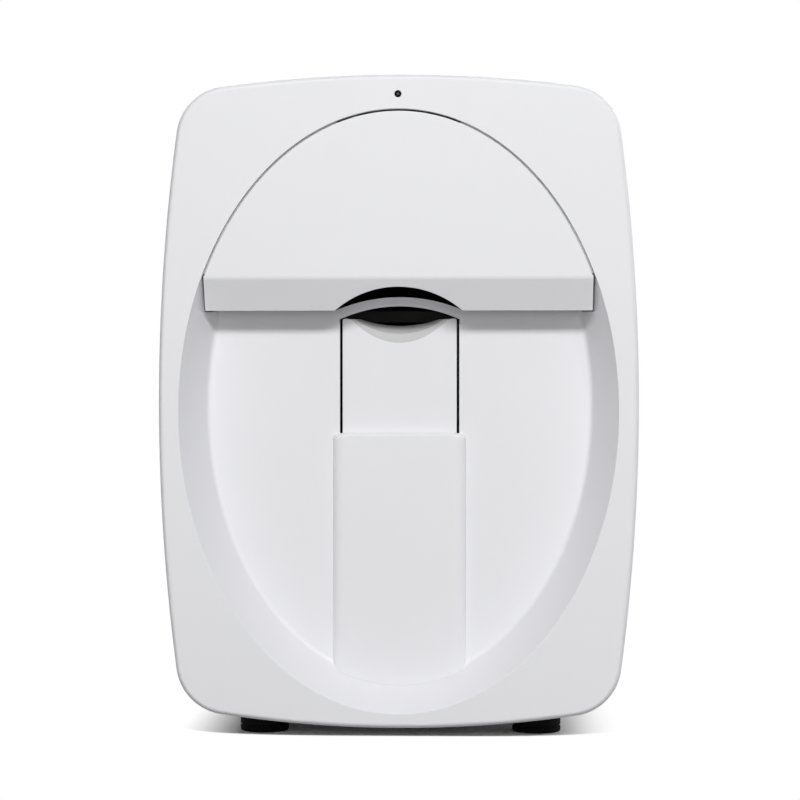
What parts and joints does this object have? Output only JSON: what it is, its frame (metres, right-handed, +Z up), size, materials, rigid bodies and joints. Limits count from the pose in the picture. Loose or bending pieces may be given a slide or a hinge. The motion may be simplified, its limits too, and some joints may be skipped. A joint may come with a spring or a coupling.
{
  "type": "nail art printer",
  "caption": "Countertop nail art printer with an oval front, a hinged cartridge door, a sprung finger lift and an inkjet carriage on a two-way gantry inside.",
  "frame": {"origin": "on the surface that the printer stands on, under the middle of its width and depth", "axes": "+X across to the right seen from the front, +Y from the front to the back, +Z up"},
  "size_m": [0.2, 0.21, 0.2765],
  "materials": {
    "white_shell": "satin moulded plastic",
    "foot_rubber": "matt",
    "pad_silicone": "matt",
    "screw_steel": "machined",
    "sheet_steel": "zinc plated",
    "bright_steel": "ground",
    "spring_steel": "drawn wire",
    "motor_black": "satin",
    "black_plastic": "fine texture",
    "board_green": "solder mask",
    "brass": "turned",
    "belt_rubber": "matt",
    "pulley_aluminium": "turned",
    "lens_glass": "polished",
    "filter_foam": "open-cell foam",
    "lamp_white": "clear cap",
    "latch_blue": "satin"
  },
  "bodies": {
    "case": {"front_cover": "white_shell", "lift_cover_panel": "white_shell", "rear_housing": "white_shell", "back_panel": "white_shell", "dust_filter": "filter_foam", "rubber_feet": "foot_rubber", "foot_screws": "screw_steel", "panel_screws": "screw_steel", "base_plate": "sheet_steel", "left_side_plate": "sheet_steel", "right_side_plate": "sheet_steel", "rear_crossbar": "sheet_steel", "front_rod_brackets": "black_plastic", "y_guide_rods": "bright_steel", "y_motor": "motor_black", "chamber_walls": "black_plastic", "lift_guide_base": "black_plastic", "lift_guide_rods": "bright_steel", "lift_return_springs": "spring_steel", "status_light": "black_plastic", "status_light_board": "board_green", "power_switch_frame": "black_plastic", "power_inlet": "black_plastic", "main_board": "board_green", "board_standoffs": "brass", "door_hinge_brackets": "sheet_steel", "door_hinge_pins": "bright_steel"},
    "door": {"cartridge_door": "white_shell", "door_hinge_arms": "white_shell"},
    "lift": {"finger_lift": "white_shell", "finger_pad": "pad_silicone", "lift_bushings": "brass"},
    "gantry": {"gantry_frame": "black_plastic", "gantry_bushings": "brass", "x_guide_rods": "bright_steel", "x_motor": "motor_black", "lead_nut": "brass", "idler_pin": "bright_steel", "x_belt": "belt_rubber"},
    "carriage": {"cartridge_carriage": "black_plastic", "carriage_bushings": "brass", "ink_cartridge": "black_plastic", "nozzle_plate": "brass", "camera_module": "board_green", "camera_lens": "lens_glass", "nail_light": "lamp_white", "latch_pin": "bright_steel"},
    "latch": {"cartridge_latch": "latch_blue"},
    "drive_pulley": {"drive_pulley": "pulley_aluminium"},
    "idler_pulley": {"idler_pulley": "pulley_aluminium"},
    "lead_screw": {"y_lead_screw": "bright_steel", "screw_coupler": "pulley_aluminium"},
    "rocker": {"power_rocker": "black_plastic"}
  },
  "joints": [
    {"name": "door_hinge", "type": "hinge", "parent": "case", "child": "door", "pos_m": [0, -0.0994, 0.2689], "axis": [-1, 0, 0], "range_deg": [0, 70]},
    {"name": "lift_slide", "type": "slide", "parent": "case", "child": "lift", "axis": [0, 0, 1], "range_m": [-0.02, 0], "stiffness_N_per_m": 150, "springref_m": 0.012, "deforming": ["lift_return_springs"]},
    {"name": "gantry_slide", "type": "slide", "parent": "case", "child": "gantry", "axis": [0, 1, 0], "range_m": [0, 0.03]},
    {"name": "carriage_slide", "type": "slide", "parent": "gantry", "child": "carriage", "axis": [1, 0, 0], "range_m": [-0.034, 0.034]},
    {"name": "latch_hinge", "type": "hinge", "parent": "carriage", "child": "latch", "pos_m": [0, -0.04, 0.2435], "axis": [-1, 0, 0], "range_deg": [0, 50]},
    {"name": "drive_pulley_spin", "type": "hinge", "parent": "gantry", "child": "drive_pulley", "pos_m": [0.05288, -0.013, 0.235], "axis": [0, 1, 0], "continuous": true},
    {"name": "idler_pulley_spin", "type": "hinge", "parent": "gantry", "child": "idler_pulley", "pos_m": [-0.05288, -0.013, 0.235], "axis": [0, 1, 0], "continuous": true},
    {"name": "lead_screw_spin", "type": "hinge", "parent": "case", "child": "lead_screw", "pos_m": [0, 0, 0.252], "axis": [0, 1, 0], "continuous": true},
    {"name": "power_rocker_hinge", "type": "hinge", "parent": "case", "child": "rocker", "pos_m": [0.04, 0.0998, 0.0385], "axis": [1, 0, 0], "range_deg": [-14, 0]}
  ],
  "couplings": [
    {"joint": "drive_pulley_spin", "follows": "carriage_slide", "rad_per_m": 166.67},
    {"joint": "idler_pulley_spin", "follows": "carriage_slide", "rad_per_m": 166.67},
    {"joint": "lead_screw_spin", "follows": "gantry_slide", "rad_per_m": 785.4}
  ]
}
